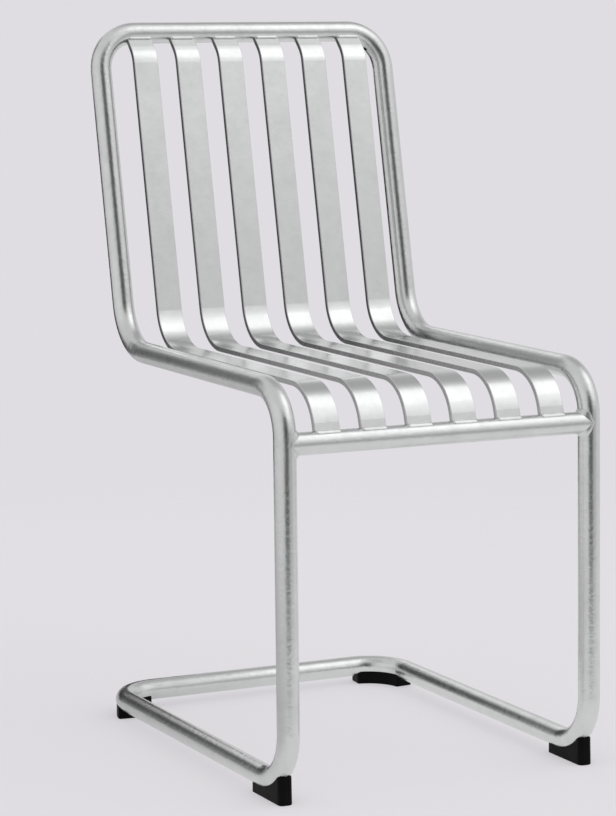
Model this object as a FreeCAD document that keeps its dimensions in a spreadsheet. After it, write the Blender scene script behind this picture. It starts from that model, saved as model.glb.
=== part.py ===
import FreeCAD, Part
import math
import operator
import os
from types import SimpleNamespace

import Sketcher
from FreeCAD import Placement, Rotation, Vector

# Steel garden chair: a cantilever frame of bent tube in two welded halves, six bent flat slats,
# a crossbar between the front legs and four plastic feet.
# Millimetres and degrees. +Z is up, the chair faces -Y, and left means -X, as seen from the front.
# The floor is z = 0. Every piece is drawn with y = 0 where the lines of seat and legs meet, and is
# then placed so that the origin lies on the floor under the middle of the chair.

# Driving sizes: name, value and meaning. Lengths of the frame are between tube centre lines,
# and its corners are where the straight runs would meet without their bends.
SIZES = (
    ("tube_diameter", 25.0, "frame tube, outside"),
    ("tube_wall", 2.0, "frame tube, wall"),
    ("side_spacing", 381.0, "left side tube to right side tube"),
    ("seat_tube_height", 452.7, "floor to seat tubes"),
    ("rail_height", 822.0, "floor to top rail"),
    ("seat_depth", 418.5, "front corner to back corner of the seat tubes"),
    ("back_recline", 12.75, "back uprights, from upright"),
    ("leg_lean", 1.68, "front legs, from upright, feet forward"),
    ("base_length", 484.0, "front floor corner to rear bar"),
    ("top_corner_radius", 46.0, "bend between upright and top rail"),
    ("seat_back_radius", 65.0, "bend between seat and back"),
    ("front_radius", 52.0, "bend between seat and leg"),
    ("floor_radius", 58.0, "bend between leg and runner"),
    ("rear_corner_radius", 52.0, "bend between runner and rear bar"),
    ("vent_diameter", 6.0, "zinc vent inside each top corner"),
    ("seam_gap", 1.6, "butt weld between the frame halves"),
    ("sleeve_length", 60.0, "sleeve inside each butt weld"),
    ("sleeve_wall", 1.5, "sleeve, wall"),
    ("sleeve_clearance", 0.15, "sleeve in tube, on the radius"),
    ("crossbar_diameter", 25.0, "front crossbar, outside"),
    ("crossbar_wall", 2.0, "front crossbar, wall"),
    ("crossbar_drop", 57.8, "seat tubes down to the crossbar"),
    ("cope_clearance", 0.2, "crossbar end to leg"),
    ("crossbar_bead", 1.4, "leg of the weld round each crossbar end"),
    ("slat_width", 31.0, "flat bar, width"),
    ("slat_thickness", 6.0, "flat bar, thickness"),
    ("slat_edge_radius", 0.8, "flat bar, rounded long edges"),
    ("slat_pitch", 56.3, "slat to slat"),
    ("slat_forward", 19.5, "back tubes to the middle of the slats"),
    ("slat_rise", 0.5, "seat tubes up to the middle of the slats"),
    ("slat_back_radius", 55.0, "slat bend between seat and back"),
    ("slat_front_radius", 53.0, "slat bend at the front edge"),
    ("slat_landing_angle", 73.5, "slat end on the crossbar, from level"),
    ("slat_landing_depth", 6.0, "slat run past the top of the crossbar before it is coped"),
    ("slat_curl_radius", 35.0, "slat bend below the top rail"),
    ("slat_curl_angle", 33.0, "turn of that bend towards the rail"),
    ("slat_clearance", 0.1, "slat end to rail or crossbar"),
    ("slat_bead", 2.4, "radius of the weld bead across a slat end"),
    ("slat_bead_inset", 3.0, "slat edge to the end of its bead"),
    ("weld_clearance", 0.05, "weld bead to the tube and slat it joins"),
    ("foot_pad", 8.6, "plastic between tube and floor"),
    ("front_foot_width", 17.0, "front foot, across the tube"),
    ("front_foot_length", 70.6, "front foot, on the floor"),
    ("nose_setback", 5.0, "front floor corner back to the front of the front foot"),
    ("nose_height", 32.2, "front foot, at its front"),
    ("nose_lean", 3.0, "front of the front foot, from upright"),
    ("nose_radius", 6.0, "upright front edges of the front foot"),
    ("nose_top_radius", 2.0, "upper edges of the front foot, at its front"),
    ("rear_foot_width", 23.0, "rear foot, across the tube"),
    ("rear_foot_sweep", 78.0, "angle between the ends of a rear foot, about the centre of its bend"),
    ("foot_clearance", 0.2, "foot saddle to tube"),
    ("foot_edge_radius", 3.0, "other upright edges of the feet"),
    ("foot_sole_radius", 1.2, "lower edges of the feet"),
    ("screw_diameter", 4.0, "foot screw, shank"),
    ("screw_length", 11.0, "foot screw, under its head"),
    ("screw_head_diameter", 8.0, "foot screw, head"),
    ("screw_head_height", 2.4, "foot screw, head"),
    ("screw_recess", 1.0, "floor to the head of a foot screw"),
    ("screw_clearance", 0.15, "screw in foot and tube, on the radius"),
    ("screw_slot", 1.2, "driving slot, width and depth"),
    ("front_screw_setback", 10.0, "rear end of a front foot to its screw"),
)

SLAT_COUNT = 6
SIDES = {"left": -1, "right": 1}
TINY = 1e-3
DIAGONAL = math.sqrt(0.5)
OPERATIONS = {"+": operator.add, "-": operator.sub, "*": operator.mul, "/": operator.truediv}

doc = FreeCAD.newDocument("garden_chair")
sheet = doc.addObject("Spreadsheet::Sheet", "Sizes")
for row, (alias, number, meaning) in enumerate(SIZES, 1):
    sheet.set(f"A{row}", meaning)
    sheet.set(f"B{row}", str(number))
    sheet.setAlias(f"B{row}", alias)
doc.recompute()


class Size:
    """A number worked out from the sheet, with the expression that gives the same number there."""

    def __init__(self, value, text):
        self.value = float(value)
        self.text = text

    def __add__(self, other):
        return combine(self, "+", other)

    def __sub__(self, other):
        return combine(self, "-", other)

    def __rsub__(self, other):
        return combine(other, "-", self)

    def __mul__(self, other):
        return combine(self, "*", other)

    def __truediv__(self, other):
        return combine(self, "/", other)

    def __neg__(self):
        return combine(self, "*", -1)

    __radd__ = __add__
    __rmul__ = __mul__


def size_of(number):
    return number if isinstance(number, Size) else Size(number, repr(number))


def combine(first, sign, second):
    first, second = size_of(first), size_of(second)
    return Size(OPERATIONS[sign](first.value, second.value), f"({first.text} {sign} {second.text})")


def trig(name, angle):
    """Sine, cosine or tangent of an angle in degrees."""
    return Size(getattr(math, name)(math.radians(angle.value)), f"{name}({angle.text})")


def root(size):
    return Size(math.sqrt(size.value), f"sqrt({size.text})")


ZERO = size_of(0)
dim = SimpleNamespace(**{alias: Size(number, f"Sizes.{alias}") for alias, number, meaning in SIZES})

# Sizes that follow from the driving ones.
tube_radius = dim.tube_diameter / 2
tube_bore_radius = tube_radius - dim.tube_wall
crossbar_radius = dim.crossbar_diameter / 2
runner_height = dim.foot_pad + tube_radius
foot_y = -(dim.seat_tube_height - runner_height) * trig("tan", dim.leg_lean)
rear_bar_y = foot_y + dim.base_length
rail_y = dim.seat_depth + (dim.rail_height - dim.seat_tube_height) * trig("tan", dim.back_recline)
crossbar_z = dim.seat_tube_height - dim.crossbar_drop
crossbar_y = -dim.crossbar_drop * trig("tan", dim.leg_lean)
slat_seat_z = dim.seat_tube_height + dim.slat_rise
runner_end_y = rear_bar_y - dim.rear_corner_radius
half_seam = dim.seam_gap / 2
nose_y = foot_y + dim.nose_setback
front_foot_end_y = nose_y + dim.front_foot_length
front_screw_y = front_foot_end_y - dim.front_screw_setback

# The frame's foremost point is on the floor bend and its rearmost on the top rail.
floor_bend_y = foot_y + dim.floor_radius / trig("tan", (90 - dim.leg_lean) / 2)
foremost_y = floor_bend_y - dim.floor_radius - tube_radius
rearmost_y = rail_y + tube_radius
middle_y = (foremost_y + rearmost_y) / 2


def side_x(side):
    return side * (dim.side_spacing / 2)


def side_of(x):
    return math.copysign(1, x.value)


def slat_x(number):
    return dim.slat_pitch * (number - (SLAT_COUNT + 1) / 2)


def bind(thing, path, size):
    thing.setExpression(path, size_of(size).text)


def new_body(label):
    body = doc.addObject("PartDesign::Body", label)
    body.Label = label
    bind(body, "Placement.Base.y", -middle_y)
    return body


def add_sketch(body, name, role, shift=(ZERO, ZERO, ZERO), tilt=None):
    """A sketch on an origin plane of its body, shifted and tilted about the plane's own x axis."""
    sketch = body.newObject("Sketcher::SketchObject", name)
    plane = next(feature for feature in body.Origin.OriginFeatures if feature.Role == role)
    sketch.AttachmentSupport = [(plane, "")]
    sketch.MapMode = "FlatFace"
    if tilt is not None:
        sketch.AttachmentOffset = Placement(Vector(), Rotation(Vector(1, 0, 0), tilt.value))
        bind(sketch, "AttachmentOffset.Rotation.Angle", tilt)
    for axis, distance in zip("xyz", shift):
        bind(sketch, f"AttachmentOffset.Base.{axis}", distance)
    return sketch


def add_back_sketch(body, name):
    """A sketch in the plane of the reclined back, with its origin in the middle of the top rail."""
    return add_sketch(body, name, "XZ_Plane", (ZERO, dim.rail_height, -rail_y), -dim.back_recline)


def constrain(sketch, *parts, size):
    """A dimensional constraint whose value comes from the sheet."""
    index = sketch.addConstraint(Sketcher.Constraint(*parts, size.value))
    bind(sketch, f"Constraints[{index}]", size)


def locate(sketch, geometry, point, place):
    """Fixes a point of the sketch by its distances from the sketch's origin."""
    for kind, distance in zip(("DistanceX", "DistanceY"), place):
        constrain(sketch, kind, -1, 1, geometry, point, size=distance)


def draw_circle(sketch, x, y, radius):
    x, y = size_of(x), size_of(y)
    circle = Part.Circle(Vector(x.value, y.value, 0), Vector(0, 0, 1), radius.value)
    geometry = sketch.addGeometry(circle)
    locate(sketch, geometry, 3, (x, y))
    constrain(sketch, "Radius", geometry, size=radius)


def point_of(place):
    return Vector(place[0].value, place[1].value, 0)


def bend_points(before, corner, after, radius):
    """Start, middle and end of the arc that rounds a corner."""
    towards_before = (before - corner).normalize()
    towards_after = (after - corner).normalize()
    half_angle = towards_before.getAngle(towards_after) / 2
    run = radius / math.tan(half_angle)
    bisector = (towards_before + towards_after).normalize()
    crown = corner + bisector * (radius / math.sin(half_angle) - radius)
    return corner + towards_before * run, crown, corner + towards_after * run


def draw_path(sketch, corners, radii, closed=False):
    """Straight runs from corner to corner. A corner with a radius is rounded by a tangent arc."""
    points = [point_of(corner) for corner in corners]
    count = len(points)
    arcs = {
        number: bend_points(points[number - 1], points[number], points[(number + 1) % count], radius.value)
        for number, radius in enumerate(radii)
        if radius is not None
    }
    runs = []
    for number in range(count if closed else count - 1):
        after = (number + 1) % count
        start = arcs[number][2] if number in arcs else points[number]
        end = arcs[after][0] if after in arcs else points[after]
        runs.append(sketch.addGeometry(Part.LineSegment(start, end)))
    for number, place in enumerate(corners):
        run_in = runs[number - 1] if closed or number > 0 else None
        run_out = runs[number] if number < len(runs) else None
        if number in arcs:
            round_corner(sketch, place, radii[number], arcs[number], run_in, run_out)
        elif run_in is None:
            locate(sketch, run_out, 1, place)
        else:
            locate(sketch, run_in, 2, place)
            if run_out is not None:
                sketch.addConstraint(Sketcher.Constraint("Coincident", run_in, 2, run_out, 1))


def arc_end(sketch, arc, point):
    """Which end of an arc, 1 or 2, lies at the given point."""
    distances = [sketch.getPoint(arc, end).distanceToPoint(point) for end in (1, 2)]
    return 1 + distances.index(min(distances))


def round_corner(sketch, place, radius, arc_points, run_in, run_out):
    """An arc tangent to two runs whose lines meet at the given corner."""
    corner = sketch.addGeometry(Part.Point(point_of(place)), True)
    locate(sketch, corner, 1, place)
    for run in (run_in, run_out):
        sketch.addConstraint(Sketcher.Constraint("PointOnObject", corner, 1, run))
    arc = sketch.addGeometry(Part.Arc(*arc_points))
    first = arc_end(sketch, arc, arc_points[0])
    last = arc_end(sketch, arc, arc_points[2])
    sketch.addConstraint(Sketcher.Constraint("Tangent", run_in, 2, arc, first))
    sketch.addConstraint(Sketcher.Constraint("Tangent", arc, last, run_out, 1))
    constrain(sketch, "Radius", arc, size=radius)


def add_pipe(body, name, kind, profile, spine):
    pipe = body.newObject(f"PartDesign::{kind}", name)
    pipe.Profile = profile
    pipe.Spine = spine
    return pipe


def add_cut(body, name, sketch, depth, side_type="One side", reverse=False):
    """A pocket that has to take material away."""
    before = body.Shape.Volume
    pocket = body.newObject("PartDesign::Pocket", name)
    pocket.Profile = sketch
    pocket.SideType = side_type
    pocket.Reversed = reverse
    bind(pocket, "Length", depth)
    doc.recompute()
    if not body.Shape.Volume < before:
        raise RuntimeError(f"{body.Label}: {name} cuts nothing")
    return pocket


def add_primitive(kind, name, sizes, place, turn=None):
    """A Part primitive with its sizes and its place bound to the sheet. turn is (axis, angle)."""
    thing = doc.addObject(f"Part::{kind}", name)
    if turn is not None:
        axis, angle = turn
        thing.Placement = Placement(Vector(), Rotation(axis, size_of(angle).value))
        bind(thing, "Placement.Rotation.Angle", angle)
    for key, size in sizes.items():
        bind(thing, key, size)
    for axis, distance in zip("xyz", place):
        bind(thing, f"Placement.Base.{axis}", distance)
    return thing


def cross_rod(name, radius, length, middle, y, z):
    """A cylinder along X, centred on middle."""
    place = (middle - length / 2, y - middle_y, z)
    return add_primitive("Cylinder", name, {"Radius": radius, "Height": length}, place, (Vector(0, 1, 0), 90))


def cut_by(label, base, tools):
    """Base with each tool taken away in turn."""
    for number, tool in enumerate(tools):
        result = doc.addObject("Part::Cut", f"{label}_cut_{number}")
        result.Base = base
        result.Tool = tool
        base = result
    base.Label = label
    return base


def group(label, members):
    compound = doc.addObject("Part::Compound", label)
    compound.Links = members
    compound.Label = label
    return compound


def draw_tube(sketch, x, y):
    draw_circle(sketch, x, y, tube_radius)
    draw_circle(sketch, x, y, tube_bore_radius)


def make_frame_half(label, side):
    """Half of the bent frame, from the middle of the top rail to the middle of the rear bar."""
    body = new_body(label)
    x = side_x(side)
    upright_top_y = rail_y - dim.top_corner_radius * trig("sin", dim.back_recline)
    upright_top_z = dim.rail_height - dim.top_corner_radius * trig("cos", dim.back_recline)

    side_line = add_sketch(body, f"{label}_side_line", "YZ_Plane", (ZERO, ZERO, x))
    corners = [
        (runner_end_y, runner_height),
        (foot_y, runner_height),
        (ZERO, dim.seat_tube_height),
        (dim.seat_depth, dim.seat_tube_height),
        (upright_top_y, upright_top_z),
    ]
    draw_path(side_line, corners, [None, dim.floor_radius, dim.front_radius, dim.seat_back_radius, None])
    runner_end = add_sketch(body, f"{label}_runner_end", "XZ_Plane", (ZERO, ZERO, -runner_end_y))
    draw_tube(runner_end, x, runner_height)
    add_pipe(body, f"{label}_side", "AdditivePipe", runner_end, side_line)

    middle_x = side * half_seam
    rail_line = add_rail_line(body, label, side, middle_x)
    rail_end = add_sketch(body, f"{label}_rail_end", "YZ_Plane", (ZERO, ZERO, middle_x))
    draw_tube(rail_end, rail_y, dim.rail_height)
    add_pipe(body, f"{label}_rail", "AdditivePipe", rail_end, rail_line)

    bar_line = add_sketch(body, f"{label}_bar_line", "XY_Plane", (ZERO, ZERO, runner_height))
    draw_bend_from_middle(bar_line, middle_x, x, rear_bar_y, dim.rear_corner_radius)
    bar_end = add_sketch(body, f"{label}_bar_end", "YZ_Plane", (ZERO, ZERO, middle_x))
    draw_tube(bar_end, rear_bar_y, runner_height)
    add_pipe(body, f"{label}_bar", "AdditivePipe", bar_end, bar_line)
    doc.recompute()

    add_vent(body, label, side)
    screw_holes = add_sketch(body, f"{label}_screw_holes", "XY_Plane")
    for hole_x, hole_y in screw_places(side):
        draw_circle(screw_holes, hole_x, hole_y, dim.screw_diameter / 2 + dim.screw_clearance)
    add_cut(body, f"{label}_screw_cut", screw_holes, runner_height, reverse=True)
    return body


def draw_bend_from_middle(sketch, middle_x, x, y, radius):
    """A straight run from the middle of the chair and the quarter bend that turns it to the side."""
    side = side_of(x)
    start = (middle_x, y)
    run_end = (x - side * radius, y)
    bend_end = (x, y - radius)
    run = sketch.addGeometry(Part.LineSegment(point_of(start), point_of(run_end)))
    locate(sketch, run, 1, start)
    locate(sketch, run, 2, run_end)
    centre = Vector(run_end[0].value, bend_end[1].value, 0)
    crown = centre + Vector(side, 1, 0) * (radius.value * DIAGONAL)
    arc = sketch.addGeometry(Part.Arc(point_of(run_end), crown, point_of(bend_end)))
    first = arc_end(sketch, arc, point_of(run_end))
    last = arc_end(sketch, arc, point_of(bend_end))
    sketch.addConstraint(Sketcher.Constraint("Tangent", run, 2, arc, first))
    constrain(sketch, "Radius", arc, size=radius)
    constrain(sketch, "DistanceY", -1, 1, arc, last, size=bend_end[1])


def add_rail_line(body, label, side, start_x):
    """The line of half the top rail and of the bend at its end."""
    line = add_back_sketch(body, f"{label}_rail_line")
    draw_bend_from_middle(line, start_x, side_x(side), ZERO, dim.top_corner_radius)
    return line


def add_rail_round(body, label, side, kind, radius):
    """Half the top rail with its bend as a round bar, added to a body or taken away from it."""
    line = add_rail_line(body, label, side, ZERO)
    circle = add_sketch(body, f"{label}_rail_end", "YZ_Plane")
    draw_circle(circle, rail_y, dim.rail_height, radius)
    add_pipe(body, f"{label}_rail", kind, circle, line)
    doc.recompute()


def add_vent(body, label, side):
    """A hole through the inner wall of the top bend, along the line that halves the bend."""
    sketch = add_back_sketch(body, f"{label}_vent_line")
    centre = (side_x(side) - side * dim.top_corner_radius, -dim.top_corner_radius)
    reach = dim.top_corner_radius * DIAGONAL
    breadth = dim.vent_diameter / 2 * DIAGONAL
    crown = (centre[0] + side * reach, centre[1] + reach)
    corners = [
        centre,
        crown,
        (crown[0] + side * breadth, crown[1] - breadth),
        (centre[0] + side * breadth, centre[1] - breadth),
    ]
    draw_path(sketch, corners, [None] * len(corners), closed=True)
    axis = sketch.addGeometry(Part.LineSegment(point_of(centre), point_of(crown)), True)
    sketch.addConstraint(Sketcher.Constraint("Coincident", axis, 1, 0, 1))
    sketch.addConstraint(Sketcher.Constraint("Coincident", axis, 2, 0, 2))
    before = body.Shape.Volume
    vent = body.newObject("PartDesign::Groove", f"{label}_vent")
    vent.Profile = sketch
    vent.ReferenceAxis = (sketch, ["Axis0"])
    vent.Angle = 360
    doc.recompute()
    if not body.Shape.Volume < before:
        raise RuntimeError(f"{label}: the vent cuts nothing")


def screw_places(side):
    """Where the screws of the front and the rear foot stand, seen from below."""
    x = side_x(side)
    back = dim.rear_corner_radius * (1 - DIAGONAL)
    return [(x, front_screw_y), (x - side * back, rear_bar_y - back)]


def make_joint(place, y, z):
    """The butt weld and the inner sleeve where the two halves of the frame meet."""
    ring = cross_rod(f"{place}_ring", tube_radius, dim.seam_gap, ZERO, y, z)
    ring_bore = cross_rod(f"{place}_ring_bore", tube_bore_radius, dim.seam_gap, ZERO, y, z)
    weld = cut_by(f"{place}_seam_weld", ring, [ring_bore])
    sleeve_radius = tube_bore_radius - dim.sleeve_clearance
    sleeve_bore = sleeve_radius - dim.sleeve_wall
    rod = cross_rod(f"{place}_sleeve_rod", sleeve_radius, dim.sleeve_length, ZERO, y, z)
    rod_bore = cross_rod(f"{place}_sleeve_bore", sleeve_bore, dim.sleeve_length, ZERO, y, z)
    sleeve = cut_by(f"{place}_joint_sleeve", rod, [rod_bore])
    return [weld, sleeve]


def make_leg_round(label, side, radius):
    """A front leg and the bend above it as a round bar."""
    body = new_body(label)
    x = side_x(side)
    seat_end_y = dim.seat_depth / 2
    corners = [(seat_end_y, dim.seat_tube_height), (ZERO, dim.seat_tube_height), (foot_y, runner_height)]
    line = add_sketch(body, f"{label}_line", "YZ_Plane", (ZERO, ZERO, x))
    draw_path(line, corners, [None, dim.front_radius, None])
    circle = add_sketch(body, f"{label}_end", "XZ_Plane", (ZERO, ZERO, -seat_end_y))
    draw_circle(circle, x, dim.seat_tube_height, radius)
    add_pipe(body, f"{label}_bar", "AdditivePipe", circle, line)
    doc.recompute()
    return body


def make_crossbar():
    """A straight tube whose ends are coped to the front legs."""
    rod = cross_rod("crossbar_rod", crossbar_radius, dim.side_spacing, ZERO, crossbar_y, crossbar_z)
    bore = cross_rod("crossbar_bore", crossbar_radius - dim.crossbar_wall, dim.side_spacing, ZERO,
                     crossbar_y, crossbar_z)
    legs = [
        make_leg_round(f"{name}_cope", side, tube_radius + dim.cope_clearance) for name, side in SIDES.items()
    ]
    return cut_by("front_crossbar", rod, [bore] + legs)


def make_crossbar_weld(name, side):
    """A bead that fills the corner between a front leg and the end of the crossbar."""
    label = f"{name}_crossbar_weld"
    outer_leg = make_leg_round(f"{label}_outer_leg", side, tube_radius + dim.crossbar_bead)
    reach = dim.tube_diameter
    middle = side_x(side) - side * (reach / 2 + dim.crossbar_bead / 2)
    outer_bar = cross_rod(f"{label}_outer_bar", crossbar_radius + dim.crossbar_bead, reach, middle,
                          crossbar_y, crossbar_z)
    corner = doc.addObject("Part::Common", f"{label}_corner")
    corner.Base = outer_leg
    corner.Tool = outer_bar
    leg = make_leg_round(f"{label}_leg", side, tube_radius + dim.weld_clearance)
    bar = cross_rod(f"{label}_bar", crossbar_radius + dim.weld_clearance, 2 * reach, middle,
                    crossbar_y, crossbar_z)
    return cut_by(label, corner, [leg, bar])


def slat_corners():
    """The middle line of a slat, from inside the crossbar to the axis of the top rail."""
    landing_z = crossbar_z + crossbar_radius
    front_y = crossbar_y + (slat_seat_z - landing_z) / trig("tan", dim.slat_landing_angle)
    start = (
        crossbar_y - dim.slat_landing_depth * trig("cos", dim.slat_landing_angle),
        landing_z - dim.slat_landing_depth * trig("sin", dim.slat_landing_angle),
    )
    recline = dim.back_recline
    back_y = dim.seat_depth - dim.slat_forward / trig("cos", recline) + dim.slat_rise * trig("tan", recline)
    below_rail = dim.slat_forward / trig("tan", dim.slat_curl_angle)
    curl = (
        rail_y - below_rail * trig("sin", recline) - dim.slat_forward * trig("cos", recline),
        dim.rail_height - below_rail * trig("cos", recline) + dim.slat_forward * trig("sin", recline),
    )
    return [start, (front_y, slat_seat_z), (back_y, slat_seat_z), curl, (rail_y, dim.rail_height)]


def make_slat(number):
    """A flat bar bent to the shape of seat and back, coped to the crossbar and to the top rail."""
    label = f"slat_{number}"
    body = new_body(label)
    x = slat_x(number)
    corners = slat_corners()
    start = corners[0]
    line = add_sketch(body, f"{label}_line", "YZ_Plane", (ZERO, ZERO, x))
    draw_path(line, corners, [None, dim.slat_front_radius, dim.slat_back_radius, dim.slat_curl_radius, None])
    place = (x, start[1], -start[0])
    section = add_sketch(body, f"{label}_section", "XZ_Plane", place, dim.slat_landing_angle)
    half_width = dim.slat_width / 2
    half_thickness = dim.slat_thickness / 2
    section_corners = [
        (half_width, half_thickness),
        (-half_width, half_thickness),
        (-half_width, -half_thickness),
        (half_width, -half_thickness),
    ]
    draw_path(section, section_corners, [dim.slat_edge_radius] * len(section_corners), closed=True)
    add_pipe(body, f"{label}_bar", "AdditivePipe", section, line)
    doc.recompute()
    add_rail_round(body, label, side_of(x), "SubtractivePipe", tube_radius + dim.slat_clearance)
    seat = add_sketch(body, f"{label}_seat", "YZ_Plane", (ZERO, ZERO, x))
    draw_circle(seat, crossbar_y, crossbar_z, crossbar_radius + dim.slat_clearance)
    add_cut(body, f"{label}_cope", seat, 2 * dim.slat_width, "Symmetric")
    return body


def make_slat_bead(label, slat, seat, x, tube):
    """A weld bead in the corner between the front face of a slat and the tube that the slat ends on."""
    aside = tube.offset + dim.slat_thickness / 2 + dim.slat_bead / 2
    out = root(tube.radius * tube.radius - aside * aside)
    y = tube.y + out * tube.along[0] + aside * tube.across[0]
    z = tube.z + out * tube.along[1] + aside * tube.across[1]
    bead = cross_rod(f"{label}_rod", dim.slat_bead, dim.slat_width - 2 * dim.slat_bead_inset, x, y, z)
    return cut_by(label, bead, [seat, slat])


def make_rail_seat(name, side):
    """The room that half the top rail takes up beside the beads that lie on it."""
    label = f"{name}_rail_seat"
    body = new_body(label)
    add_rail_round(body, label, side, "AdditivePipe", tube_radius + dim.weld_clearance)
    return body


def make_slat_welds(slats):
    """The beads between the slats and the top rail, and between the slats and the crossbar."""
    # along runs up or down the slats from each tube, across points out of their front faces, and
    # offset is how far the slats' middle line passes in front of the tube's axis.
    curl = dim.back_recline + dim.slat_curl_angle
    rail = SimpleNamespace(
        radius=tube_radius,
        y=rail_y,
        z=dim.rail_height,
        along=(-trig("sin", curl), -trig("cos", curl)),
        across=(-trig("cos", curl), trig("sin", curl)),
        offset=ZERO,
    )
    landing = dim.slat_landing_angle
    bar = SimpleNamespace(
        radius=crossbar_radius,
        y=crossbar_y,
        z=crossbar_z,
        along=(trig("cos", landing), trig("sin", landing)),
        across=(-trig("sin", landing), trig("cos", landing)),
        offset=crossbar_radius * trig("cos", landing),
    )
    rail_seats = {side: make_rail_seat(name, side) for name, side in SIDES.items()}
    bar_seat = cross_rod("crossbar_seat", crossbar_radius + dim.weld_clearance, dim.side_spacing, ZERO,
                         crossbar_y, crossbar_z)
    top_beads = []
    front_beads = []
    for number, slat in enumerate(slats, 1):
        x = slat_x(number)
        top_beads.append(make_slat_bead(f"top_bead_{number}", slat, rail_seats[side_of(x)], x, rail))
        front_beads.append(make_slat_bead(f"front_bead_{number}", slat, bar_seat, x, bar))
    return [group("slat_top_welds", top_beads), group("slat_front_welds", front_beads)]


def is_upright(edge):
    return edge.BoundBox.XLength < TINY and edge.BoundBox.YLength < TINY


def is_on_floor(edge):
    return edge.BoundBox.ZMax < TINY


def round_edges(body, name, base, chosen, radius):
    """Rounds the edges of a feature that pass the test."""
    doc.recompute()
    fillet = body.newObject("PartDesign::Fillet", name)
    fillet.Base = (base, [f"Edge{number}" for number, edge in enumerate(base.Shape.Edges, 1) if chosen(edge)])
    bind(fillet, "Radius", radius)
    doc.recompute()
    return fillet


def round_foot(body, label, block, is_end):
    """The rounded upright edges at the ends of a moulded foot, and then its lower edges."""

    def is_end_edge(edge):
        return is_upright(edge) and is_end(edge)

    ends = round_edges(body, f"{label}_end_edges", block, is_end_edge, dim.foot_edge_radius)
    round_edges(body, f"{label}_sole_edges", ends, is_on_floor, dim.foot_sole_radius)


def add_screw_seat(body, label, place):
    """The counterbore for a screw's head and the hole for its shank, from below."""
    head = add_sketch(body, f"{label}_head_seat", "XY_Plane")
    draw_circle(head, *place, dim.screw_head_diameter / 2 + dim.screw_clearance)
    add_cut(body, f"{label}_head_cut", head, dim.screw_recess + dim.screw_head_height, reverse=True)
    shank = add_sketch(body, f"{label}_shank_hole", "XY_Plane")
    draw_circle(shank, *place, dim.screw_diameter / 2 + dim.screw_clearance)
    add_cut(body, f"{label}_shank_cut", shank, runner_height, reverse=True)


def make_front_foot(name, side):
    """A wedge under a floor bend: flat below, almost upright in front and saddled to the tube above."""
    label = f"front_{name}_foot"
    body = new_body(label)
    x = side_x(side)
    radius = dim.floor_radius
    bend_z = runner_height + radius
    drop = bend_z - dim.nose_height
    nose_top_y = nose_y + dim.nose_height * trig("tan", dim.nose_lean)
    outline = add_sketch(body, f"{label}_outline", "YZ_Plane", (ZERO, ZERO, x))
    nose_top = (floor_bend_y - root(radius * radius - drop * drop), dim.nose_height)
    bend_start = (floor_bend_y, runner_height)
    corners = [
        nose_top,
        (nose_top_y, dim.nose_height),
        (nose_y, ZERO),
        (front_foot_end_y, ZERO),
        (front_foot_end_y, runner_height),
        bend_start,
    ]
    draw_path(outline, corners, [None] * len(corners))
    centre = Vector(floor_bend_y.value, bend_z.value, 0)
    halfway = (point_of(nose_top) + point_of(bend_start)) / 2
    crown = centre + (halfway - centre).normalize() * radius.value
    arc = outline.addGeometry(Part.Arc(point_of(nose_top), crown, point_of(bend_start)))
    last_run = len(corners) - 2
    for place, run, end in ((nose_top, 0, 1), (bend_start, last_run, 2)):
        meeting = arc_end(outline, arc, point_of(place))
        outline.addConstraint(Sketcher.Constraint("Coincident", arc, meeting, run, end))
    constrain(outline, "Radius", arc, size=radius)
    block = body.newObject("PartDesign::Pad", f"{label}_block")
    block.Profile = outline
    block.SideType = "Symmetric"
    bind(block, "Length", dim.front_foot_width)

    def is_nose(edge):
        box = edge.BoundBox
        return box.XLength < TINY and box.ZLength > TINY and box.YMax < nose_top_y.value + TINY

    def is_nose_top(edge):
        box = edge.BoundBox
        return box.ZMin > dim.nose_height.value - TINY and box.YMin < nose_top[0].value - TINY

    nose = round_edges(body, f"{label}_nose_edges", block, is_nose, dim.nose_radius)
    top = round_edges(body, f"{label}_nose_top_edges", nose, is_nose_top, dim.nose_top_radius)
    round_foot(body, label, top, lambda edge: edge.BoundBox.YMin > front_foot_end_y.value - TINY)

    line_start = front_foot_end_y + dim.tube_diameter
    line = add_sketch(body, f"{label}_tube_line", "YZ_Plane", (ZERO, ZERO, x))
    tube_corners = [(line_start, runner_height), (foot_y, runner_height), (ZERO, dim.seat_tube_height)]
    draw_path(line, tube_corners, [None, radius, None])
    circle = add_sketch(body, f"{label}_tube", "XZ_Plane", (ZERO, ZERO, -line_start))
    draw_circle(circle, x, runner_height, tube_radius + dim.foot_clearance)
    add_pipe(body, f"{label}_saddle", "SubtractivePipe", circle, line)
    doc.recompute()
    add_screw_seat(body, label, screw_places(side)[0])
    return body


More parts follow.
